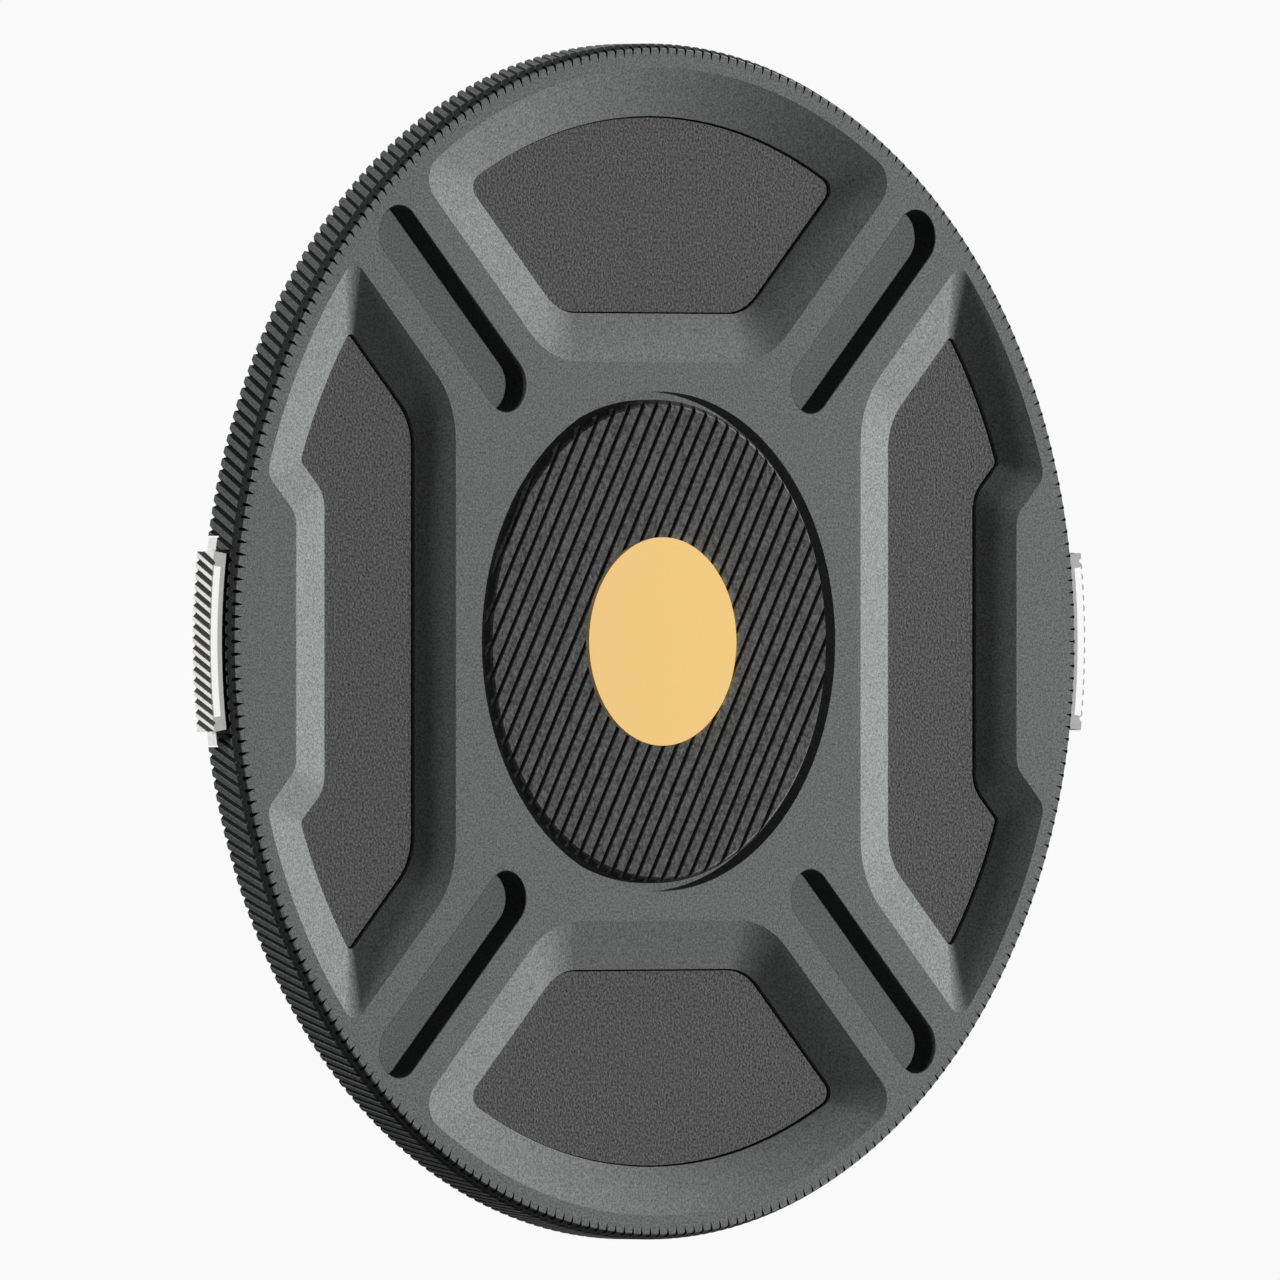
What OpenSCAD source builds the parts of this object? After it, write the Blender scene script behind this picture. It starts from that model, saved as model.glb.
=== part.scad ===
/* [Cover] */
// Outside diameter over the lands of the grip
rim_d = 86.1; // [85.6:0.1:88]
// Depth of the rim from the front face to its back edge
rim_h = 3.14; // [3:0.02:3.6]
// Thickness of the front plate
plate_t = 2.15; // [2.1:0.01:2.25]
// Width of the rim's back edge, where the lens ring stops
rim_seat_w = 2.75; // [2.6:0.05:3]
// How far the front plate's underside ledge laps over the back plate
lap_w = 0.7; // [0.5:0.05:0.9]
// Radius lost by the bevel round the front face
bevel_w = 0.33; // [0.25:0.01:0.4]
// Depth of the bevel
bevel_h = 0.71; // [0.6:0.01:0.8]
// Tiny edge break between the face and the bevel
edge_break = 0.06; // [0.04:0.01:0.1]

/* [Grip] */
// Number of slanted grooves round the rim
groove_count = 300; // [240:12:300]
// Depth of each groove
groove_deep = 0.35; // [0.25:0.01:0.4]
// Turn of the grooves, in degrees for each millimetre towards the front
groove_turn = 0.756; // [0.5:0.01:0.9]
// Height over which each groove runs out into the bevel
runout_h = 0.36; // [0.2:0.01:0.4]

/* [Pads] */
// Outer radius of the four dished pads at the face
dish_r = 41.33; // [41:0.01:41.5]
// Width of the sloped border of a dish
dish_w = 3.5; // [3.2:0.05:3.7]
// Drop of the sloped border
dish_drop = 0.68; // [0.6:0.01:0.72]
// Small step from the border down to the pad
pad_step = 0.27; // [0.2:0.01:0.3]
// Thickness of a pad
pad_t = 0.6; // [0.5:0.05:0.65]
// Gap round a pad
pad_gap = 0.05; // [0.03:0.01:0.1]
// Distance from the middle to the straight inner edge of the top and bottom dishes
top_edge = 20.1; // [19.8:0.1:21]
// Where the slanted edge of those dishes would cross the middle line
top_diagonal = 9.07; // [8.8:0.05:9.3]
// Distance from the middle to the straight inner edge of the side dishes
side_edge = 20.6; // [20.2:0.1:21]
// How far the slanted edge of the side dishes is below the 45 degree line
side_diagonal = 3.4; // [3:0.1:3.6]
// Distance from the middle to the straight outer edge beside a tab
notch_edge = 36.67; // [36:0.05:36.9]
// How far the slanted notch edge is below the 45 degree line
notch_diagonal = 27.6; // [27:0.1:28]
// Radius of the wide corners at the face
wide_corner = 7; // [6:0.25:7.5]
// Radius of the corners next to the rim at the face
outer_corner = 1.8; // [1.5:0.1:2]
// Radius of the pointed tips of the side dishes at the face
tip_corner = 1.2; // [1:0.1:1.5]
// Radius inside the notch beside a tab
notch_corner = 1.6; // [1.2:0.1:2]

/* [Slots] */
// Half the width of a slot, and the radius of its ends
slot_r = 2; // [1.8:0.05:2.1]
// Sideways place of the inner end's centre
slot_inner = 15.5; // [15.3:0.1:16.5]
// Length of a slot between the centres of its ends, measured sideways
slot_run = 10.8; // [9:0.1:11]
// How far the centre line of a slot is above the 45 degree line
slot_rise = 2.95; // [2.8:0.05:3.1]
// Depth of a slot
slot_deep = 2.1; // [1.5:0.05:2.2]
// Wall under and round a slot
slot_wall = 0.55; // [0.4:0.05:0.6]

/* [Centre disc] */
// Radius of the round recess
hub_r = 18; // [17.5:0.1:18.2]
// Depth of the round recess
hub_deep = 1.5; // [1.3:0.05:1.6]
// Width of the dark gap round the disc
hub_gap = 0.6; // [0.5:0.05:0.8]
// How far the disc stands above the face
hub_proud = 0.08; // [0.02:0.01:0.15]
// Width of the bevel round the disc
hub_bevel = 0.45; // [0.3:0.05:0.6]
// Distance between two ribs
rib_pitch = 1.17; // [1:0.01:1.5]
// Width of the groove between two ribs
rib_gap = 0.38; // [0.3:0.01:0.45]
// Depth of the groove between two ribs
rib_deep = 0.4; // [0.3:0.05:0.6]
// Direction of the ribs, in degrees
rib_angle = 60; // [45:1:75]
// Radius of the round badge
badge_r = 7.5; // [6:0.1:9]
// Thickness of the badge
badge_t = 0.3; // [0.2:0.05:0.5]

/* [Back plate] */
// How far the pilot ring stands behind the rim
pilot_h = 2; // [1.8:0.05:2.2]
// Width of the pilot ring
pilot_w = 1.5; // [1.2:0.1:2]
// Thickness of the back plate's floor
floor_t = 1.4; // [1.3:0.05:1.5]

/* [Tabs] */
// How far a tab can be pressed in
travel = 1.4; // [1:0.05:1.5]
// How far the tab's grip stands out past the rim
grip_out = 1.55; // [1.3:0.05:1.8]
// Half the width of the grip
grip_half = 6.45; // [6:0.05:7]
// Depth of the grip's front behind the front face
grip_front = 0.78; // [0.74:0.01:0.9]
// Depth of the grip's back behind the front face
grip_back = 2.5; // [2.3:0.05:2.7]
// Half the width of the sliding plate
slide_half = 7.42; // [7.2:0.02:7.8]
// Inner end of the sliding plate
slide_inner = 24; // [23:0.1:25]
// Running gap at each side of a tab
side_gap = 0.12; // [0.08:0.01:0.2]
// Running gap above and below a tab
lift_gap = 0.06; // [0.05:0.01:0.08]
// Number of slanted grooves on a grip
tab_grooves = 17; // [13:1:17]
// Distance between two grooves on a grip
tab_pitch = 0.767; // [0.7:0.005:0.78]
// Depth of a groove on a grip
tab_groove_deep = 0.3; // [0.2:0.01:0.35]
// Half the length of the white stripe
stripe_half = 5.4; // [4:0.1:5.8]
// Width of the white stripe
stripe_w = 0.65; // [0.4:0.05:0.7]
// Thickness of the white stripe
stripe_t = 0.15; // [0.1:0.05:0.2]
// How far the thread ridges of a claw stand out past the pilot ring
claw_bite = 0.7; // [0.5:0.05:0.8]
// Height of a thread ridge
ridge_h = 0.45; // [0.3:0.05:0.5]
// Distance between two thread ridges
ridge_pitch = 0.75; // [0.7:0.01:0.8]
// Wall of a claw
claw_w = 1.6; // [1.4:0.1:2]

/* [Springs] */
// Outside diameter of a spring
spring_d = 1.6; // [1.4:0.05:1.65]
// Wire of a spring
wire_d = 0.3; // [0.25:0.01:0.32]
// Length of a spring at rest
spring_len = 10; // [9:0.25:11]
// Working turns of a spring
spring_turns = 7; // [5:1:8]
// Distance of a spring from the tab's middle line
spring_side = 4.5; // [4:0.1:5]

/* [Screws] */
// Diameter of a screw's shank
screw_d = 1.4; // [1.2:0.1:1.5]
// Diameter of a screw's head
head_d = 2.6; // [2.4:0.1:2.8]
// How far outside the round recess the inner screws stand
inner_screw_out = 2; // [1.8:0.1:2.2]
// How far inside the dishes' outer edge the outer screws stand
outer_screw_in = 5.33; // [5.13:0.1:5.83]

/* [Hidden] */
$fn = 96;
eps = 0.01;
over_w = 0.3;
cover_color = [0.33, 0.34, 0.33];
pad_color = [0.24, 0.24, 0.24];
disc_color = [0.2, 0.2, 0.2];
badge_color = [0.93, 0.68, 0.38];
tab_color = [0.78, 0.78, 0.77];
stripe_color = [0.97, 0.97, 0.97];
steel_color = [0.6, 0.6, 0.62];
back_color = [0.16, 0.16, 0.17];

// heights, from the back of the pilot ring at 0 to the front face
z_rim = pilot_h;
z_face = pilot_h + rim_h;
z_deck = z_face - plate_t;
z_floor = z_rim - floor_t;
z_slope_end = z_face - dish_drop;
z_pad_seat = z_slope_end - pad_step - pad_t;
z_hub = z_face - hub_deep;

// radii
rim_r = rim_d / 2;
pilot_r = rim_r - rim_seat_w;
cavity_r = pilot_r - lap_w;
core_r = rim_r - groove_deep - 0.25;
ring_inner_r = core_r - 0.2;
runout_end = bevel_h + 0.02 - runout_h;

// tabs
grip_r = rim_r + grip_out;
grip_inner_r = rim_r - 0.95;
shadow_r = rim_r + 0.3;
shadow_h = 0.25;
window_top = grip_front - lift_gap;
window_half = slide_half + side_gap;
pocket_x = sqrt(pow(grip_inner_r, 2) - pow(grip_half, 2)) - travel - 0.15;
z_slide_low = z_rim + lift_gap;
z_slide_high = z_deck - lift_gap;
z_grip_front = z_face - grip_front;
z_grip_back = z_face - grip_back;
claw_r = pilot_r + claw_bite;
claw_core_r = claw_r - ridge_h;
claw_inner_r = claw_core_r - claw_w;
claw_half = slide_half - 0.4;
z_claw_end = 0.25;
rail_w = 1.1;

// springs
spring_r = spring_d / 2;
spring_z = z_deck - 0.1 - spring_r;
spring_x = slide_inner - 2;
spring_end_x = spring_x + spring_len;
channel_r = spring_r + 0.1;
stop_t = 1;
coil_r = spring_r - wire_d / 2;
coil_sides = 6;
coil_steps = 10;

// screws
head_r = head_d / 2;
shank_r = screw_d / 2;
head_h = head_r - shank_r + 0.1;
boss_wall = 0.8;
boss_r = shank_r + boss_wall;
screw_tip_z = z_deck + 0.3;
inner_screw_r = hub_r + inner_screw_out;
outer_screw_r = dish_r - outer_screw_in;
inner_screw_a = 50;
outer_screw_a = 70;

// geometry helpers
function polar(r, a) = [r * cos(a), r * sin(a)];
function lift(points, z) = [for (p = points) [p[0], p[1], z]];
function flip_x(points) = [for (i = [len(points) - 1 : -1 : 1]) [-points[i][0], points[i][1]]];
function flip_y(points) = [for (i = [len(points) - 1 : -1 : 0]) [points[i][0], -points[i][1]]];

// points of an arc about c from angle a to angle b
function arc(c, r, a, b, steps) = [for (i = [0 : steps]) c + polar(r, a + (b - a) * i / steps)];

// the same without its first point, where it goes on from another arc
function arc_on(c, r, a, b, steps) = [for (i = [1 : steps]) c + polar(r, a + (b - a) * i / steps)];

// centre of the round between the circle of radius rr and the line y = x + b,
// on the upper side of the line for side = 1 and on the lower side for side = -1
function round_centre(rr, b, rf, side) =
    let (k = b / sqrt(2) + side * rf, m = sqrt(pow(rr - rf, 2) - k * k))
    [(m - k) / sqrt(2), (m + k) / sqrt(2)];

// right half of the outline of a top dish, t inside its face outline; its first point is on the middle line
function top_half(t) =
    let (
        rr = dish_r - t,
        b = top_diagonal + t * sqrt(2),
        e = top_edge + t,
        ro = max(outer_corner - t / 4, 0.5),
        ri = wide_corner - t * 0.8,
        c = round_centre(rr, b, ro, 1),
        ac = atan2(c[1], c[0])
    )
    concat(
        arc([0, 0], rr, 90, ac, 12),
        arc_on(c, ro, ac, -45, 6),
        arc([e - b - ri * tan(22.5), e + ri], ri, -45, -90, 7)
    );

// upper half of the outline of a right side dish, t inside its face outline
function side_half(t) =
    let (
        rr = dish_r - t,
        b = -side_diagonal - t * sqrt(2),
        e = side_edge + t,
        n = notch_edge - t,
        nb = -notch_diagonal + t * sqrt(2),
        rt = max(tip_corner - t / 5, 0.4),
        ri = wide_corner - t * 0.7,
        rn = notch_corner + t / 4,
        c = round_centre(rr, b, rt, -1),
        ac = atan2(c[1], c[0]),
        cn = round_centre(rr, nb, rt, 1),
        an = atan2(cn[1], cn[0])
    )
    concat(
        arc([n + rn, n + nb - rn * tan(22.5)], rn, 180, 135, 6),
        arc(cn, rt, -45, an, 5),
        arc_on([0, 0], rr, an, ac, 12),
        arc_on(c, rt, ac, 135, 6),
        arc([e + ri, e + b - ri * tan(22.5)], ri, 135, 180, 7)
    );

function turned(points) = [for (i = [len(points) - 1 : -1 : 0]) points[i]];
function top_outline(t) = let (h = top_half(t)) turned(concat(h, flip_x(h)));
function side_outline(t) = let (h = side_half(t)) concat(h, flip_y(h));

// solid through equal rings of points, each counterclockwise as seen from the last ring
module loft(rows) {
    n = len(rows[0]);
    m = len(rows);
    sides = [
        for (k = [0 : m - 2]) for (i = [0 : n - 1])
            let (j = (i + 1) % n)
            each [[k * n + i, (k + 1) * n + j, k * n + j], [k * n + i, (k + 1) * n + i, (k + 1) * n + j]]
    ];
    polyhedron(
        points = [for (r = rows) each r],
        faces = concat(sides, [[for (i = [0 : n - 1]) i]], [[for (i = [n - 1 : -1 : 0]) (m - 1) * n + i]])
    );
}

// rows of points round the grip: each groove gives its two edges and its bottom
function grip_row(z, land, bottom, half_a) = [
    for (i = [0 : groove_count - 1])
        let (a = (i * 360 / groove_count) + groove_turn * (z - z_face))
        each lift([polar(land, a - half_a), polar(bottom, a), polar(land, a + half_a)], z)
];
function ring_row(z, r) = [
    for (i = [0 : groove_count - 1])
        let (a = (i * 360 / groove_count) + groove_turn * (z - z_face))
        [r * cos(a), r * sin(a), z]
];

// grooved band round the rim, one closed ring of faces
module grip_ring() {
    n = groove_count;
    m = 3 * n;
    half_a = 90 / groove_count;
    z_mid = z_face - runout_end - runout_h;
    z_top = z_face - runout_end;
    top_r = rim_r - bevel_w * (bevel_h - runout_end) / bevel_h;
    rows = [
        grip_row(z_rim, rim_r, rim_r - groove_deep, half_a),
        grip_row(z_mid, rim_r, rim_r - groove_deep, half_a),
        grip_row(z_top, top_r, top_r - eps / 2, half_a / 10)
    ];
    low = 3 * m;
    high = low + n;
    walls = [
        for (k = [0 : 1]) for (i = [0 : m - 1])
            let (j = (i + 1) % m, p = k * m, q = p + m)
            each [[p + i, q + i, p + j], [p + j, q + i, q + j]]
    ];
    floor_faces = [
        for (i = [0 : n - 1])
            let (a = 3 * i, d = (3 * i + 3) % m, p = low + i, q = low + (i + 1) % n)
            each [[a, a + 1, p], [a + 1, a + 2, p], [a + 2, d, p], [d, q, p]]
    ];
    top_faces = [
        for (i = [0 : n - 1])
            let (t = 2 * m, a = 3 * i, d = (3 * i + 3) % m, p = high + i, q = high + (i + 1) % n)
            each [[t + a + 1, t + a, p], [t + a + 2, t + a + 1, p], [t + d, t + a + 2, p], [q, t + d, p]]
    ];
    inside = [
        for (i = [0 : n - 1])
            let (p = low + i, q = low + (i + 1) % n, r = high + i, s = high + (i + 1) % n)
            each [[p, q, r], [q, s, r]]
    ];
    polyhedron(
        points = concat([for (r = rows) each r], ring_row(z_rim, ring_inner_r), ring_row(z_top, ring_inner_r)),
        faces = concat(walls, floor_faces, top_faces, inside)
    );
}

// recess of a dish: sloped border, then the straight pocket that holds the pad
module dish_cut(out_row, floor_row) {
    loft([
        lift(floor_row, z_pad_seat),
        lift(floor_row, z_slope_end),
        lift(out_row, z_face + over_w * dish_drop / dish_w)
    ]);
}
module top_dish() dish_cut(top_outline(-over_w), top_outline(dish_w));
module side_dish() dish_cut(side_outline(-over_w), side_outline(dish_w));

// round-ended bar standing from z to z + h on the line of a slot
module slot_bar(r, z, h) {
    p = [slot_inner, slot_inner + slot_rise];
    translate([p[0], p[1], z]) rotate([0, 0, 45]) {
        length = slot_run * sqrt(2);
        cylinder(h = h, r = r);
        translate([length, 0, 0]) cylinder(h = h, r = r);
        translate([0, -r, 0]) cube([length, 2 * r, h]);
    }
}

// the same shape in all four quarters
module quarters() {
    for (mx = [0, 1]) for (my = [0, 1])
        mirror([mx, 0, 0]) mirror([0, my, 0]) children();
}

module at_inner_screws() quarters() translate(concat(polar(inner_screw_r, inner_screw_a), 0)) children();
module at_outer_screws() quarters() translate(concat(polar(outer_screw_r, outer_screw_a), 0)) children();

// one part of a ring between two radii, centred on +X
module ring_sector(r_in, r_out, half_width, z, h) {
    a = asin(half_width / r_out);
    translate([0, 0, z]) rotate([0, 0, -a]) rotate_extrude(angle = 2 * a)
        translate([r_in, 0]) square([r_out - r_in, h]);
}

module both_sides() {
    children();
    rotate([0, 0, 180]) children();
}

// plate, bevel and rim wall as one turned profile
module cover_body() {
    rotate_extrude() polygon([
        [0, z_deck],
        [0, z_face],
        [rim_r - bevel_w - edge_break, z_face],
        [rim_r - bevel_w, z_face - edge_break],
        [rim_r - bevel_w * (bevel_h - runout_end) / bevel_h - 2 * eps, z_face - runout_end],
        [core_r, z_face - runout_end],
        [core_r, z_rim],
        [cavity_r, z_rim],
        [cavity_r, z_deck]
    ]);
}

module cover() {
    color(cover_color)
    difference() {
        union() {
            grip_ring();
            cover_body();
            quarters() slot_bar(slot_r + slot_wall, z_face - slot_deep - slot_wall, z_deck + eps - (z_face - slot_deep - slot_wall));
            at_inner_screws() translate([0, 0, z_rim]) cylinder(h = z_deck - z_rim + eps, r = boss_r);
            at_outer_screws() translate([0, 0, z_rim]) cylinder(h = z_deck - z_rim + eps, r = boss_r);
            both_sides() for (s = [-1, 1])
                translate([slide_inner, s * (window_half + rail_w / 2) - rail_w / 2, z_rim])
                    cube([cavity_r - slide_inner + 0.3, rail_w, z_deck - z_rim + eps]);
        }
        // dishes and slots
        for (a = [0, 180]) rotate([0, 0, a]) {
            top_dish();
            side_dish();
        }
        quarters() slot_bar(slot_r, z_face - slot_deep, slot_deep + 1);
        // round recess in the middle
        translate([0, 0, z_hub]) cylinder(h = hub_deep + 1, r = hub_r);
        // way for each tab through the rim
        both_sides() {
            translate([slide_inner, -window_half, z_rim - 1])
                cube([rim_r, 2 * window_half, z_deck - z_rim + 1]);
            translate([pocket_x, -grip_half - side_gap, z_rim - 1])
                cube([rim_r, 2 * (grip_half + side_gap), z_face - window_top - z_rim + 1]);
        }
        // threaded holes for the screws
        at_inner_screws() translate([0, 0, z_rim - 1]) cylinder(h = screw_tip_z + 0.1 - z_rim + 1, r = shank_r);
        at_outer_screws() translate([0, 0, z_rim - 1]) cylinder(h = screw_tip_z + 0.1 - z_rim + 1, r = shank_r);
    }
}

module top_pad_body() translate([0, 0, z_pad_seat]) linear_extrude(pad_t) polygon(top_outline(dish_w + pad_gap));
module side_pad_body() translate([0, 0, z_pad_seat]) linear_extrude(pad_t) polygon(side_outline(dish_w + pad_gap));

module top_pad() color(pad_color) top_pad_body();
module bottom_pad() color(pad_color) rotate([0, 0, 180]) top_pad_body();
module right_pad() color(pad_color) side_pad_body();
module left_pad() color(pad_color) rotate([0, 0, 180]) side_pad_body();

// ribbed disc in the round recess
module centre_disc() {
    r = hub_r - hub_gap;
    top_z = z_face + hub_proud;
    half_count = floor(r / rib_pitch);
    color(disc_color)
    difference() {
        rotate_extrude() polygon([
            [0, z_hub],
            [r, z_hub],
            [r, top_z - hub_bevel],
            [r - hub_bevel, top_z],
            [0, top_z]
        ]);
        rotate([0, 0, rib_angle]) for (i = [-half_count : half_count])
            translate([-hub_r, (i + 0.5) * rib_pitch - rib_gap / 2, top_z - rib_deep])
                cube([2 * hub_r, rib_gap, rib_deep + 1]);
    }
}

// plain round badge on the ribs
module badge() {
    color(badge_color)
    translate([0, 0, z_face + hub_proud]) cylinder(h = badge_t, r = badge_r);
}

// floor with the pilot ring that enters the lens ring, spring channels and claw cut-outs
module back_plate() {
    color(back_color)
    difference() {
        union() {
            rotate_extrude() polygon([
                [0, z_floor],
                [0, z_rim],
                [pilot_r, z_rim],
                [pilot_r, 0.2],
                [pilot_r - 0.2, 0],
                [pilot_r - pilot_w, 0],
                [pilot_r - pilot_w, z_floor]
            ]);
            both_sides() translate([spring_x - stop_t, -spring_side - spring_d, z_rim - eps])
                cube([stop_t, 2 * (spring_side + spring_d), z_deck - lift_gap - z_rim + eps]);
        }
        both_sides() {
            // cut-out for the claw over its whole travel
            translate([claw_inner_r - travel - 0.9, -claw_half - side_gap, -1])
                cube([rim_r, 2 * (claw_half + side_gap), z_rim + 2]);
            // channels for the springs
            for (s = [-1, 1]) translate([spring_x, s * spring_side, spring_z])
                rotate([0, 90, 0]) cylinder(h = spring_len + 0.3, r = channel_r);
        }
        // countersunk screw holes
        at_inner_screws() screw_hole();
        at_outer_screws() screw_hole();
    }
}

module screw_hole() {
    translate([0, 0, z_floor - 1]) cylinder(h = floor_t + 2, r = shank_r + 0.1);
    translate([0, 0, z_floor - eps]) cylinder(h = head_h, r1 = head_r + 0.05, r2 = shank_r + 0.05);
}

// slanted groove cutters on the face of a grip
module grip_grooves() {
    step_a = 2 * asin(tab_pitch / 2 / grip_r);
    middle = (z_grip_front + z_grip_back) / 2;
    lean = atan(groove_turn * PI / 180 * grip_r);
    half_w = tab_pitch * 0.27;
    for (i = [0 : tab_grooves - 1])
        rotate([0, 0, (i - (tab_grooves - 1) / 2) * step_a]) translate([grip_r, 0, middle])
            rotate([-lean, 0, 0]) translate([0, 0, -2])
                linear_extrude(4) polygon([[-tab_groove_deep, 0], [0.2, -half_w * 1.7], [0.2, half_w * 1.7]]);
}

// slide plate, grip and threaded claw of one tab, on the +X side
module tab_body() {
    claw_a = asin(claw_half / claw_r);
    difference() {
        union() {
            intersection() {
                translate([0, 0, z_slide_low]) cylinder(h = z_slide_high - z_slide_low, r = rim_r);
                translate([slide_inner, -slide_half, 0]) cube([rim_r, 2 * slide_half, z_face]);
            }
            difference() {
                ring_sector(grip_inner_r, grip_r, grip_half, z_grip_back, z_grip_front - z_grip_back);
                ring_sector(0, shadow_r, grip_half * 2, z_grip_front - shadow_h, 1);
                grip_grooves();
            }
            // claw with two thread ridges
            rotate([0, 0, -claw_a]) rotate_extrude(angle = 2 * claw_a) polygon([
                [claw_inner_r, z_slide_low + eps],
                [claw_inner_r, z_claw_end],
                [claw_core_r, z_claw_end],
                [claw_core_r, z_claw_end + 0.1],
                [claw_r, z_claw_end + 0.1 + ridge_pitch * 0.4],
                [claw_r, z_claw_end + 0.1 + ridge_pitch * 0.5],
                [claw_core_r, z_claw_end + 0.1 + ridge_pitch * 0.9],
                [claw_core_r, z_claw_end + 0.1 + ridge_pitch],
                [claw_r, z_claw_end + 0.1 + ridge_pitch * 1.4],
                [claw_r, z_claw_end + 0.1 + ridge_pitch * 1.5],
                [claw_core_r, z_claw_end + 0.1 + ridge_pitch * 1.9],
                [claw_core_r, z_slide_low + eps]
            ]);
        }
        // open slots that hold the springs
        for (s = [-1, 1]) translate([slide_inner - 1, s * spring_side - channel_r, z_slide_low - 1])
            cube([spring_end_x - slide_inner + 1, 2 * channel_r, 3]);
        // bed of the white stripe
        ring_sector(grip_r - 0.15 - stripe_w, grip_r - 0.15, stripe_half, z_grip_front - stripe_t, 1);
    }
}

module right_tab() color(tab_color) tab_body();
module left_tab() color(tab_color) rotate([0, 0, 180]) tab_body();

module stripe_body() ring_sector(grip_r - 0.15 - stripe_w, grip_r - 0.15, stripe_half, z_grip_front - stripe_t, stripe_t);
module right_stripe() color(stripe_color) stripe_body();
module left_stripe() color(stripe_color) rotate([0, 0, 180]) stripe_body();

// place along the spring after t turns: closed at both ends, open between
function coil_x(t) =
    let (
        total = spring_turns + 2,
        open_len = spring_len - wire_d - 2 * wire_d * 1.02,
        first = min(t, 1),
        open = min(max(t - 1, 0), spring_turns),
        last = max(t - 1 - spring_turns, 0)
    )
    wire_d / 2 + (first + last) * wire_d * 1.02 + open / spring_turns * open_len;

// compression spring from the stop outwards
module spring_body() {
    count = (spring_turns + 2) * coil_steps;
    rows = [
        for (i = [0 : count])
            let (t = i / coil_steps, a = 360 * t)
            [
                for (k = [0 : coil_sides - 1])
                    let (w = 360 * k / coil_sides, r = coil_r + wire_d / 2 * cos(w))
                    [coil_x(t) - wire_d / 2 * sin(w), r * cos(a), r * sin(a)]
            ]
    ];
    translate([spring_x, 0, spring_z]) loft(rows);
}
module right_upper_spring() color(steel_color) translate([0, spring_side, 0]) spring_body();
module right_lower_spring() color(steel_color) translate([0, -spring_side, 0]) spring_body();
module left_upper_spring() color(steel_color) mirror([1, 0, 0]) translate([0, spring_side, 0]) spring_body();
module left_lower_spring() color(steel_color) mirror([1, 0, 0]) translate([0, -spring_side, 0]) spring_body();

// countersunk screw with a cross recess
module screw_body() {
    color(steel_color)
    difference() {
        union() {
            translate([0, 0, z_floor]) cylinder(h = head_h - 0.05, r1 = head_r, r2 = shank_r);
            translate([0, 0, z_floor]) cylinder(h = screw_tip_z - z_floor, r = shank_r - 0.01);
        }
        for (a = [0, 90]) rotate([0, 0, a])
            translate([-head_r * 0.55, -0.15, z_floor - 1]) cube([head_r * 1.1, 0.3, 1.35]);
    }
}
module inner_screw(mx, my) mirror([mx, 0, 0]) mirror([0, my, 0])
    translate(concat(polar(inner_screw_r, inner_screw_a), 0)) screw_body();
module outer_screw(mx, my) mirror([mx, 0, 0]) mirror([0, my, 0])
    translate(concat(polar(outer_screw_r, outer_screw_a), 0)) screw_body();
module inner_screw_1() inner_screw(0, 0);
module inner_screw_2() inner_screw(1, 0);
module inner_screw_3() inner_screw(1, 1);
module inner_screw_4() inner_screw(0, 1);
module outer_screw_1() outer_screw(0, 0);
module outer_screw_2() outer_screw(1, 0);
module outer_screw_3() outer_screw(1, 1);
module outer_screw_4() outer_screw(0, 1);

cover();
top_pad();
bottom_pad();
left_pad();
right_pad();
centre_disc();
badge();
back_plate();
left_tab();
right_tab();
left_stripe();
right_stripe();
left_upper_spring();
left_lower_spring();
right_upper_spring();
right_lower_spring();
inner_screw_1();
inner_screw_2();
inner_screw_3();
inner_screw_4();
outer_screw_1();
outer_screw_2();
outer_screw_3();
outer_screw_4();
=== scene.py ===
import math

import bmesh
import bpy
from mathutils import Matrix, Vector


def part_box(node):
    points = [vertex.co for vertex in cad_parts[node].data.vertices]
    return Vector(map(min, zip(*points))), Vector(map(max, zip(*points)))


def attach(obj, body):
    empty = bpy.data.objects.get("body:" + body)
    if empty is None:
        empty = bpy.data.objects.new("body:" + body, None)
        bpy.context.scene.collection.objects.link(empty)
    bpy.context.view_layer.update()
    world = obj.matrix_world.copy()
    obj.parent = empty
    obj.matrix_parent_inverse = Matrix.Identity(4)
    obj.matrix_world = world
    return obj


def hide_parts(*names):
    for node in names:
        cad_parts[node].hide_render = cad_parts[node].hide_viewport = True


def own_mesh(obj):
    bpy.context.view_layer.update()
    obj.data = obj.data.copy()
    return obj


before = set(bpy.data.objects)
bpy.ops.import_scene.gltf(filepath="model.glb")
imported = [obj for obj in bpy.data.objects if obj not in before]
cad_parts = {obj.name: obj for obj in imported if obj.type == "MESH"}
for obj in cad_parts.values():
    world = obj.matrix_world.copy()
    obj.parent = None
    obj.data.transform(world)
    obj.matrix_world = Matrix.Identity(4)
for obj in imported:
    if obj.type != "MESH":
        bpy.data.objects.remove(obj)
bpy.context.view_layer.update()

# Places on the cap, from the frame
MM = 0.001
FACE_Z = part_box("cover")[1][2]
RIM_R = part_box("cover")[1][1]
GRIP_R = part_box("right_tab")[1][0]
GRIP_TOP_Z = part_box("right_stripe")[1][2]
DISC_TOP_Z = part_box("centre_disc")[1][2]
PADS = [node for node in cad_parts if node.endswith("_pad")]
SPRINGS = [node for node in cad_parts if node.endswith("_spring")]
TABS = ["left_tab", "right_tab"]
STRIPES = ["left_stripe", "right_stripe"]

# The photograph's view: turned to the left of the cap's front, through a long lens
VIEW_TURN = math.radians(45)
VIEW_DISTANCE = 3.3
VIEW_REACH = 20
IMAGE_PX = 1280
PX_PER_MM = 13.9
SENSOR_MM = 36.0
AIM = Vector((-1.953 * MM, 0.108 * MM, FACE_Z))

# Rim and bevel of the cover, as in part.scad
GROOVE_COUNT = 300
BEVEL_W = 0.33 * MM
BEVEL_H = 0.71 * MM

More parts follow.
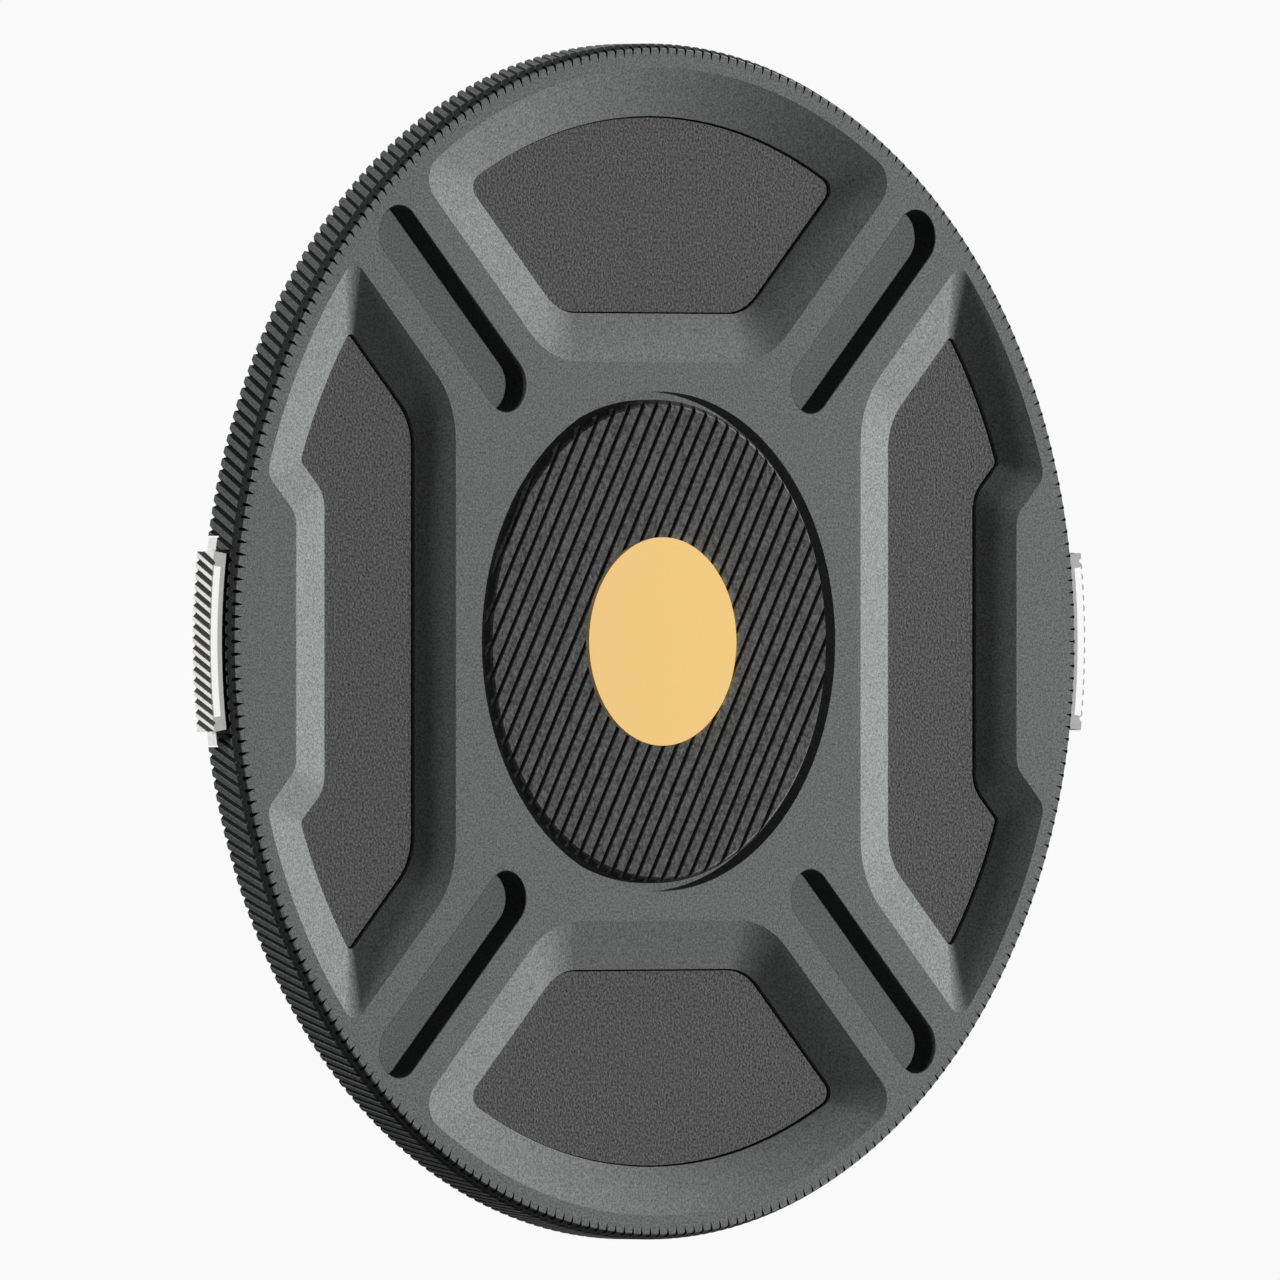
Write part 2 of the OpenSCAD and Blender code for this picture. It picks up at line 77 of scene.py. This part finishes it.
# Slots, as in part.scad: half width, inner end, straight run, height over the diagonal, depth
SLOT_R = 2 * MM
SLOT_INNER = 15.5 * MM
SLOT_RUN = 10.8 * MM
SLOT_RISE = 2.95 * MM
SLOT_DEEP = 2.1 * MM

# Thin dark trim on the cover, which paints the shade of nicks and gaps
SKIN = 0.012 * MM
NOTCH_LEN = 0.62 * MM
NOTCH_HALF_W = 0.11 * MM
NOTCH_DROP = 0.3 * MM
NOTCH_SHOULDER = 0.03 * MM
NOTCH_ROOT = 0.2 * MM
SEAM_W = 0.13 * MM
SEAM_DEEP = 0.1 * MM

# Painted shade in the materials: the depths inside or below an edge where each begins and is full.
# A depth under 0 lies outside or above the edge.
LANDS_TOP = (0.0, 0.05 * MM)
RIM_BAND = (1.2 * MM, 1.1 * MM)
GROOVE_SIDES = (0.03 * MM, 0.08 * MM)
BEVEL_TOP = (0.07 * MM, 0.12 * MM)
BEVEL_FOOT = (0.02 * MM, -0.06 * MM)
BEVEL_BACK = (0.2 * MM, 0.1 * MM)
SLOT_FLOOR = (-0.3 * MM, -0.1 * MM)
SLOT_INSIDE = (-0.1 * MM, 0.0)
GRIP_SIDES = (0.012 * MM, 0.04 * MM)
GRIP_BAND = (0.45 * MM, 0.4 * MM)
GRIP_TOP = (0.01 * MM, 0.03 * MM)
GAP_BAND = (-0.32 * MM, -0.26 * MM)
GAP_FRONT = (0.4 * MM, 0.3 * MM)
RIB_SIDES = (0.06 * MM, 0.2 * MM)

# Distance from a slot's edge, and upright share of a face's normal, where a painted shade begins and is
# full
SLOT_LINE = (0.07 * MM, 0.02 * MM)
WALL_UPRIGHT = (0.6, 0.3)

# Share of the colour that each painted shade keeps
WALL_SHADE_SHARE = 0.45
GROOVE_SHADE_SHARE = 0.13
BEVEL_SHADE_SHARE = 0.2
SLOT_LINE_SHADE_SHARE = 0.45
SLOT_FLOOR_SHADE_SHARE = 0.8
GRIP_GROOVE_SHADE_SHARE = 0.1
GAP_SHADE_SHARE = 0.06
RIB_SHADE_SHARE = 0.25

# Grain of every material
GRAIN_DETAIL = 3.0
GRAIN_ROUGHNESS = 0.6
GRAIN_LOW = 0.3
GRAIN_HIGH = 0.7

# Reading of the CAD meshes: points closer than TOUCH are one, faces flatter than FLAT lie level
TOUCH = 0.001 * MM
FLAT = 0.9
SOFT_TURN = math.radians(6)

# Floor, world and lamps
FLOOR_HALF = 3.0
FLOOR_Z = -0.05 * MM
FLOOR_LEVEL = 0.75
FLOOR_ROUGHNESS = 0.8
FLOOR_WHITE = 0.95
WORLD_LEVEL = 0.10
WHITE = (1, 1, 1, 1)
LAMP_DISTANCE = 1.5
PANEL = (0.3, 0.3)
WIDE_PANEL = (0.6, 0.6)
STRIP = (0.5, 0.03)


# Node helpers: tree is a node tree, and values are sockets or numbers
def noise(tree, coords, size):
    """Noise whose blobs are about size metres across."""
    node = tree.nodes.new("ShaderNodeTexNoise")
    node.inputs["Scale"].default_value = 1.0 / size
    node.inputs["Detail"].default_value = GRAIN_DETAIL
    node.inputs["Roughness"].default_value = GRAIN_ROUGHNESS
    tree.links.new(coords, node.inputs["Vector"])
    return node.outputs["Fac"]


def ramp(tree, value, low, high):
    """The colour low where the grain's value is low, high where it is high."""
    node = tree.nodes.new("ShaderNodeValToRGB")
    ends = node.color_ramp.elements
    ends[0].position = GRAIN_LOW
    ends[0].color = (*low, 1)
    ends[1].position = GRAIN_HIGH
    ends[1].color = (*high, 1)
    tree.links.new(value, node.inputs["Fac"])
    return node.outputs["Color"]


def bump(tree, height, strength, distance):
    node = tree.nodes.new("ShaderNodeBump")
    node.inputs["Strength"].default_value = strength
    node.inputs["Distance"].default_value = distance
    tree.links.new(height, node.inputs["Height"])
    return node.outputs["Normal"]


def calc(tree, operation, first, second=0.0):
    """One Math node."""
    node = tree.nodes.new("ShaderNodeMath")
    node.operation = operation
    for socket, value in zip(node.inputs, (first, second)):
        if isinstance(value, (int, float)):
            socket.default_value = value
        else:
            tree.links.new(value, socket)
    return node.outputs[0]


def product(tree, *masks):
    """1 only where every mask is 1."""
    total = masks[0]
    for mask in masks[1:]:
        total = calc(tree, "MULTIPLY", total, mask)
    return total


def hypotenuse(tree, first, second):
    squares = [calc(tree, "MULTIPLY", value, value) for value in (first, second)]
    return calc(tree, "SQRT", calc(tree, "ADD", *squares))


def split(tree, vector):
    """The x, y and z of a vector."""
    node = tree.nodes.new("ShaderNodeSeparateXYZ")
    tree.links.new(vector, node.inputs[0])
    return tuple(node.outputs)


def step(tree, value, start, end):
    """0 up to start and 1 from end on, smooth between; it runs downward where start is above end."""
    node = tree.nodes.new("ShaderNodeMapRange")
    node.interpolation_type = "SMOOTHSTEP"
    tree.links.new(value, node.inputs["Value"])
    rises = start < end
    node.inputs["From Min"].default_value = min(start, end)
    node.inputs["From Max"].default_value = max(start, end)
    node.inputs["To Min"].default_value = 0.0 if rises else 1.0
    node.inputs["To Max"].default_value = 1.0 if rises else 0.0
    return node.outputs["Result"]


def inward(tree, value, edge, depths):
    """The step of a radius or height between two depths inside or below edge."""
    begins, full = depths
    return step(tree, value, edge - begins, edge - full)


def tinted(tree, color, share, mask):
    """The colour times share where mask is 1."""
    mix = tree.nodes.new("ShaderNodeMix")
    mix.data_type = "RGBA"
    mix.blend_type = "MULTIPLY"
    tree.links.new(mask, mix.inputs["Factor"])
    tree.links.new(color, mix.inputs["A"])
    mix.inputs["B"].default_value = (share, share, share, 1)
    return mix.outputs["Result"]


# Painted shade in the materials
def shade_walls(tree, color):
    """Painted shade: the rim and the upright walls of the recesses are darker than the faces."""
    normal = tree.nodes.new("ShaderNodeTexCoord").outputs["Normal"]
    upright = calc(tree, "ABSOLUTE", split(tree, normal)[2])
    return tinted(tree, color, WALL_SHADE_SHARE, step(tree, upright, *WALL_UPRIGHT))


def shade_grooves(tree, radius, height, color):
    """Painted shade in the bottoms of the rim's grooves."""
    below = inward(tree, height, FACE_Z - BEVEL_H, LANDS_TOP)
    on_rim = inward(tree, radius, RIM_R, RIM_BAND)
    deep = inward(tree, radius, RIM_R, GROOVE_SIDES)
    return tinted(tree, color, GROOVE_SHADE_SHARE, product(tree, below, on_rim, deep))


def shade_bevel(tree, radius, height, color):
    """Painted shade on the smooth bevel between the face and the rim's lands."""
    under_edge = inward(tree, height, FACE_Z, BEVEL_TOP)
    over_lands = inward(tree, height, FACE_Z - BEVEL_H, BEVEL_FOOT)
    slanted = inward(tree, radius, RIM_R - BEVEL_W, BEVEL_BACK)
    return tinted(tree, color, BEVEL_SHADE_SHARE, product(tree, under_edge, over_lands, slanted))


def slot_reach(tree, x, y):
    """Distance from the middle line of the nearest slot, which is SLOT_R on the slot's edge."""
    root = math.sqrt(2)
    x, y = (calc(tree, "ABSOLUTE", value) for value in (x, y))
    over_diagonal = calc(tree, "SUBTRACT", calc(tree, "SUBTRACT", y, x), SLOT_RISE)
    across = calc(tree, "DIVIDE", over_diagonal, root)
    along = calc(tree, "DIVIDE", calc(tree, "ADD", x, y), root)
    middle = (2 * SLOT_INNER + SLOT_RUN + SLOT_RISE) / root
    off_middle = calc(tree, "ABSOLUTE", calc(tree, "SUBTRACT", along, middle))
    past_end = calc(tree, "MAXIMUM", calc(tree, "SUBTRACT", off_middle, SLOT_RUN / root), 0.0)
    return hypotenuse(tree, across, past_end)


def shade_slots(tree, x, y, height, color):
    """Painted shade: a thin dark line round each slot's edge, and its slightly darker floor."""
    reach = slot_reach(tree, x, y)
    off_edge = calc(tree, "ABSOLUTE", calc(tree, "SUBTRACT", reach, SLOT_R))
    color = tinted(tree, color, SLOT_LINE_SHADE_SHARE, step(tree, off_edge, *SLOT_LINE))
    low = inward(tree, height, FACE_Z - SLOT_DEEP, SLOT_FLOOR)
    inside = inward(tree, reach, SLOT_R, SLOT_INSIDE)
    return tinted(tree, color, SLOT_FLOOR_SHADE_SHARE, product(tree, low, inside))


def shade_cover(tree, coords, color):
    """All painted shade of the cover."""
    x, y, height = split(tree, coords)
    radius = hypotenuse(tree, x, y)
    color = shade_walls(tree, color)
    color = shade_grooves(tree, radius, height, color)
    color = shade_bevel(tree, radius, height, color)
    return shade_slots(tree, x, y, height, color)


def shade_grip(tree, coords, color):
    """Painted shade in the grooves of a tab's grip, and on the front of the gap between grip and rim."""
    x, y, height = split(tree, coords)
    radius = hypotenuse(tree, x, y)
    cut = inward(tree, radius, GRIP_R, GRIP_SIDES)
    outer = inward(tree, radius, GRIP_R, GRIP_BAND)
    below = inward(tree, height, GRIP_TOP_Z, GRIP_TOP)
    color = tinted(tree, color, GRIP_GROOVE_SHADE_SHARE, product(tree, cut, outer, below))
    near_rim = inward(tree, radius, RIM_R, GAP_BAND)
    front = inward(tree, height, GRIP_TOP_Z, GAP_FRONT)
    return tinted(tree, color, GAP_SHADE_SHARE, product(tree, near_rim, front))


def shade_ribs(tree, coords, color):
    """Painted shade in the grooves between the disc's ribs, and on its edge."""
    height = split(tree, coords)[2]
    return tinted(tree, color, RIB_SHADE_SHARE, inward(tree, height, DISC_TOP_Z, RIB_SIDES))


# Materials
def grey(level, warm=0.0):
    """A grey that leans to red where warm is above 0, and to blue where it is below."""
    return (level * (1 + warm), level, level * (1 - warm))


def new_material(name):
    """A material's new node tree, and its main shader."""
    mat = bpy.data.materials.new(name)
    mat.use_nodes = True
    return mat, mat.node_tree, mat.node_tree.nodes["Principled BSDF"]


def grained(name, low, high, grain, strength, depth, roughness, metallic=0.0, specular=0.5, shade=None):
    """A satin surface with a fine even grain in colour and height; shade paints shade on parts of it."""
    mat, tree, shader = new_material(name)
    coords = tree.nodes.new("ShaderNodeTexCoord").outputs["Object"]
    fine = noise(tree, coords, grain)
    color = ramp(tree, fine, low, high)
    if shade is not None:
        color = shade(tree, coords, color)
    tree.links.new(color, shader.inputs["Base Color"])
    tree.links.new(bump(tree, fine, strength, depth), shader.inputs["Normal"])
    shader.inputs["Roughness"].default_value = roughness
    shader.inputs["Metallic"].default_value = metallic
    shader.inputs["Specular IOR Level"].default_value = specular
    return mat


def anodised_grey():
    return grained(
        "anodised_grey", (0.082, 0.086, 0.084), (0.218, 0.228, 0.223), grain=0.16 * MM,
        strength=0.25, depth=0.02 * MM, roughness=0.5, specular=0.02, shade=shade_cover)


def leather_grain():
    return grained(
        "leather_grain", grey(0.036), grey(0.148), grain=0.2 * MM,
        strength=0.7, depth=0.05 * MM, roughness=0.6, specular=0.04)


def ribbed_dark():
    return grained(
        "ribbed_dark", grey(0.036), grey(0.140), grain=0.3 * MM,
        strength=0.6, depth=0.05 * MM, roughness=0.6, specular=0.04, shade=shade_ribs)


def matt_gold():
    return grained(
        "matt_gold", (0.97, 0.64, 0.245), (0.99, 0.67, 0.265), grain=0.15 * MM,
        strength=0.1, depth=0.01 * MM, roughness=0.5, specular=0.1)


def satin_light_grey():
    return grained(
        "satin_light_grey", grey(0.38, 0.01), grey(0.44, 0.01), grain=0.25 * MM,
        strength=0.1, depth=0.01 * MM, roughness=0.4, specular=0.2, shade=shade_grip)


def matt_white():
    return grained(
        "matt_white", grey(0.92), grey(0.96), grain=0.3 * MM,
        strength=0.05, depth=0.01 * MM, roughness=0.5)


def matt_black():
    return grained(
        "matt_black", grey(0.016, -0.03), grey(0.026, -0.03), grain=0.25 * MM,
        strength=0.3, depth=0.02 * MM, roughness=0.55)


def spring_steel():
    return grained(
        "spring_steel", grey(0.50, -0.02), grey(0.60, -0.02), grain=0.1 * MM,
        strength=0.1, depth=0.005 * MM, roughness=0.3, metallic=1.0)


def dark_nickel():
    return grained(
        "dark_nickel", grey(0.22, -0.02), grey(0.30, -0.02), grain=0.15 * MM,
        strength=0.1, depth=0.005 * MM, roughness=0.35, metallic=1.0)


# Near-black finish of the trim that paints shade in nicks and gaps
def painted_shade_trim():
    return grained(
        "painted_shade_trim", grey(0.009), grey(0.014), grain=0.2 * MM,
        strength=0.1, depth=0.01 * MM, roughness=0.7, specular=0.0)


# Materials by the part of the name that tells a node's kind
FINISHES = {
    "cover": anodised_grey(),
    "_pad": leather_grain(),
    "centre_disc": ribbed_dark(),
    "badge": matt_gold(),
    "_tab": satin_light_grey(),
    "_stripe": matt_white(),
    "back_plate": matt_black(),
    "_spring": spring_steel(),
    "_screw": dark_nickel(),
}
SHADE_TRIM_FINISH = painted_shade_trim()


def paint(node):
    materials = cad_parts[node].data.materials
    materials.clear()
    materials.append(next(finish for kind, finish in FINISHES.items() if kind in node))


def soften(node):
    """Even shading over faces that turn by less than SOFT_TURN; no point is moved."""
    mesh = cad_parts[node].data
    least = math.cos(SOFT_TURN)
    keys = [tuple(round(c / TOUCH) for c in v.co) for v in mesh.vertices]
    faces = [(Vector(f.normal), f.area, [keys[i] for i in f.vertices]) for f in mesh.polygons]
    around = {}
    for normal, area, corners in faces:
        for key in corners:
            around.setdefault(key, []).append((normal, area))
    normals = []
    for normal, area, corners in faces:
        for key in corners:
            near = [n * a for n, a in around[key] if n.dot(normal) > least]
            normals.append(sum(near, Vector()).normalized() if near else normal)
    mesh.normals_split_custom_set(normals)


# Small pieces on the cover
def add_trim(name, points, faces):
    """A thin dark piece of painted shade, attached to the cap."""
    mesh = bpy.data.meshes.new(name)
    mesh.from_pydata(points, [], faces)
    mesh.materials.append(SHADE_TRIM_FINISH)
    piece = bpy.data.objects.new(name, mesh)
    bpy.context.collection.objects.link(piece)
    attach(piece, "cap")


def polar(r, angle, z):
    return (r * math.cos(angle), r * math.sin(angle), z)


def make_edge_notches():
    """Dark pointed piece over each groove of the rim, on the face and down the bevel: painted shade of a
    nick.
    """
    edge_r = RIM_R - BEVEL_W
    low_r = edge_r + BEVEL_W * NOTCH_DROP / BEVEL_H
    half = NOTCH_HALF_W / edge_r
    points, faces = [], []
    for i in range(GROOVE_COUNT):
        angle = 2 * math.pi * i / GROOVE_COUNT
        base = len(points)
        points += [
            polar(edge_r - NOTCH_LEN, angle, FACE_Z + SKIN / 4),
            polar(edge_r - NOTCH_SHOULDER, angle - half, FACE_Z + SKIN),
            polar(edge_r - NOTCH_SHOULDER, angle + half, FACE_Z + SKIN),
            polar(low_r + SKIN, angle - half, FACE_Z - NOTCH_DROP),
            polar(low_r + SKIN, angle + half, FACE_Z - NOTCH_DROP),
            polar(edge_r - NOTCH_ROOT, angle, FACE_Z - NOTCH_ROOT),
        ]
        tip, left, right, low_left, low_right, root = range(base, base + 6)
        faces += [
            (tip, left, right),
            (left, low_left, low_right, right),
            (tip, root, left),
            (tip, right, root),
            (left, root, low_left),
            (right, low_right, root),
            (low_left, root, low_right),
        ]
    add_trim("edge_notch_shade", points, faces)


def top_outline(node):
    """Ordered points round the flat top of a node."""
    mesh = bmesh.new()
    mesh.from_mesh(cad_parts[node].data)
    bmesh.ops.remove_doubles(mesh, verts=mesh.verts, dist=TOUCH)
    top = max(v.co.z for v in mesh.verts)
    neighbours = {}
    for edge in mesh.edges:
        at_top = all(abs(v.co.z - top) < TOUCH for v in edge.verts)
        level_faces = sum(abs(f.normal.z) > FLAT for f in edge.link_faces)
        if at_top and level_faces == 1:
            a, b = edge.verts
            neighbours.setdefault(a.index, []).append(b.index)
            neighbours.setdefault(b.index, []).append(a.index)
    mesh.verts.ensure_lookup_table()
    start = next(iter(neighbours))
    order, last, here = [start], None, start
    while True:
        ahead = [n for n in neighbours[here] if n != last]
        if not ahead or ahead[0] == start:
            break
        last, here = here, ahead[0]
        order.append(here)
    points = [mesh.verts[i].co.copy() for i in order]
    mesh.free()
    return points


def make_seam(node):
    """Thin dark line over the gap round a pad: painted shade of the gap."""
    outline = top_outline(node)
    middle = sum(outline, Vector()) / len(outline)
    count = len(outline)
    down = Vector((0, 0, -SEAM_DEEP))
    points, faces = [], []
    for i, here in enumerate(outline):
        along = (outline[(i + 1) % count] - outline[i - 1]).normalized()
        out = along.cross(Vector((0, 0, 1)))
        if out.dot(here - middle) < 0:
            out = -out
        base = here + Vector((0, 0, SKIN))
        inner, outer = base - out * SEAM_W / 2, base + out * SEAM_W / 2
        points += [inner, outer, outer + down, inner + down]
    for i in range(count):
        a, b = 4 * i, 4 * ((i + 1) % count)
        faces += [(a + k, b + k, b + (k + 1) % 4, a + (k + 1) % 4) for k in range(4)]
    add_trim(node + "_gap_shade", points, faces)


def make_coil(node):
    """Stands for a spring's CAD node."""
    coil = bpy.data.objects.new(node + "_coil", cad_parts[node].data.copy())
    bpy.context.collection.objects.link(coil)
    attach(coil, "cap")
    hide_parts(node)
    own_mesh(coil)


# Floor, world, lamps and camera
def white_behind(tree, shader, white, share):
    """Camera, glossy and transmission rays see share of white, and all others see shader."""
    rays = tree.nodes.new("ShaderNodeLightPath").outputs
    seen = calc(tree, "MAXIMUM", rays["Is Camera Ray"], rays["Is Glossy Ray"])
    seen = calc(tree, "MAXIMUM", seen, rays["Is Transmission Ray"])
    return mixed(tree, calc(tree, "MULTIPLY", seen, share), shader, white)


def mixed(tree, share, first, second):
    """A mix of two shaders, with share of the second."""
    mix = tree.nodes.new("ShaderNodeMixShader")
    tree.links.new(share, mix.inputs["Fac"])
    tree.links.new(first, mix.inputs[1])
    tree.links.new(second, mix.inputs[2])
    return mix.outputs["Shader"]


def pale_floor():
    """A floor that shows pale from above, and that a camera below it doesn't see."""
    mat, tree, shader = new_material("pale_floor")
    shader.inputs["Base Color"].default_value = (FLOOR_LEVEL, FLOOR_LEVEL, FLOOR_LEVEL, 1)
    shader.inputs["Roughness"].default_value = FLOOR_ROUGHNESS
    glow = tree.nodes.new("ShaderNodeEmission")
    glow.inputs["Strength"].default_value = 1.0
    above = white_behind(tree, shader.outputs["BSDF"], glow.outputs["Emission"], FLOOR_WHITE)
    seen = tree.nodes.new("ShaderNodeLightPath").outputs["Is Camera Ray"]
    below = tree.nodes.new("ShaderNodeNewGeometry").outputs["Backfacing"]
    clear = tree.nodes.new("ShaderNodeBsdfTransparent").outputs["BSDF"]
    surface = mixed(tree, calc(tree, "MULTIPLY", seen, below), above, clear)
    tree.links.new(surface, tree.nodes["Material Output"].inputs["Surface"])
    return mat


def make_floor():
    """The floor that the cap lies on; it casts no shadow, so a lamp below it lights the cap's back."""
    corners = [(x * FLOOR_HALF, y * FLOOR_HALF, FLOOR_Z) for x, y in ((-1, -1), (1, -1), (1, 1), (-1, 1))]
    mesh = bpy.data.meshes.new("floor")
    mesh.from_pydata(corners, [], [(0, 1, 2, 3)])
    mesh.materials.append(pale_floor())
    floor = bpy.data.objects.new("floor", mesh)
    bpy.context.collection.objects.link(floor)
    floor.visible_shadow = False


def make_world():
    """A weak even light from all round, with a white background."""
    world = bpy.data.worlds.new("studio")
    bpy.context.scene.world = world
    world.use_nodes = True
    tree = world.node_tree
    soft = tree.nodes["Background"]
    soft.inputs["Color"].default_value = WHITE
    soft.inputs["Strength"].default_value = WORLD_LEVEL
    white = tree.nodes.new("ShaderNodeBackground")
    white.inputs["Color"].default_value = WHITE
    white.inputs["Strength"].default_value = 1.0
    surface = white_behind(tree, soft.outputs["Background"], white.outputs["Background"], 1.0)
    tree.links.new(surface, tree.nodes["World Output"].inputs["Surface"])


def light_only(lamp, nodes):
    """Lets a lamp light only the given CAD nodes."""
    group = bpy.data.collections.new(lamp.name + "_lights")
    for node in nodes:
        group.objects.link(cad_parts[node])
    lamp.light_linking.receiver_collection = group


def area_lamp(name, direction, size, level, nodes=None, shadow=True):
    """A soft lamp that shows a white surface facing it at about level; with nodes, it lights only those."""
    data = bpy.data.lights.new(name, "AREA")
    data.shape = "RECTANGLE"
    data.size, data.size_y = size
    data.energy = level * (math.pi * LAMP_DISTANCE) ** 2
    data.use_shadow = shadow
    lamp = bpy.data.objects.new(name, data)
    lamp.visible_glossy = False
    way = Vector(direction).normalized()
    lamp.location = way * LAMP_DISTANCE
    lamp.rotation_euler = way.to_track_quat("Z", "Y").to_euler()
    bpy.context.collection.objects.link(lamp)
    if nodes:
        light_only(lamp, nodes)


def make_lamps():
    """The key grazes the cover's front from the right, and the others each light what it leaves dark."""
    front_nodes = ["cover", "centre_disc", "badge", *PADS]
    area_lamp("key_right", (0.98, 0.09, 0.12), PANEL, level=6.8, nodes=front_nodes, shadow=False)
    area_lamp("side_right", (0.98, 0.2, 0.02), STRIP, level=0.8, nodes=["right_tab", "right_stripe"])
    area_lamp("back_soft", (0.1, 0.25, -0.96), WIDE_PANEL, level=1.0)
    area_lamp("edge_left", (-1, 0, 0.02), STRIP, level=1.6, nodes=["left_tab"])
    area_lamp("tabs_front", (0.1, 0.1, 0.98), PANEL, level=0.88, nodes=TABS + STRIPES)
    area_lamp("edge_upper_left", (-0.87, 0.49, 0.02), STRIP, level=1.1, nodes=["cover"])


def make_camera():
    """The photograph's view: PX_PER_MM of its pixels show a millimetre at AIM."""
    data = bpy.data.cameras.new("camera")
    data.sensor_width = SENSOR_MM
    data.lens = SENSOR_MM * VIEW_DISTANCE / MM * PX_PER_MM / IMAGE_PX
    data.clip_end = VIEW_REACH
    back = Vector((-math.sin(VIEW_TURN), 0, math.cos(VIEW_TURN)))
    up = Vector((0, 1, 0))
    right = up.cross(back)
    camera = bpy.data.objects.new("camera", data)
    turn = Matrix((right, up, back)).transposed().to_4x4()
    camera.matrix_world = Matrix.Translation(AIM + back * VIEW_DISTANCE) @ turn
    bpy.context.collection.objects.link(camera)
    bpy.context.scene.camera = camera


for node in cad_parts:
    paint(node)
soften("cover")
make_edge_notches()
for pad in PADS:
    make_seam(pad)
for spring in SPRINGS:
    make_coil(spring)
make_floor()
make_world()
make_lamps()
make_camera()

bpy.context.scene.view_settings.view_transform = "Standard"
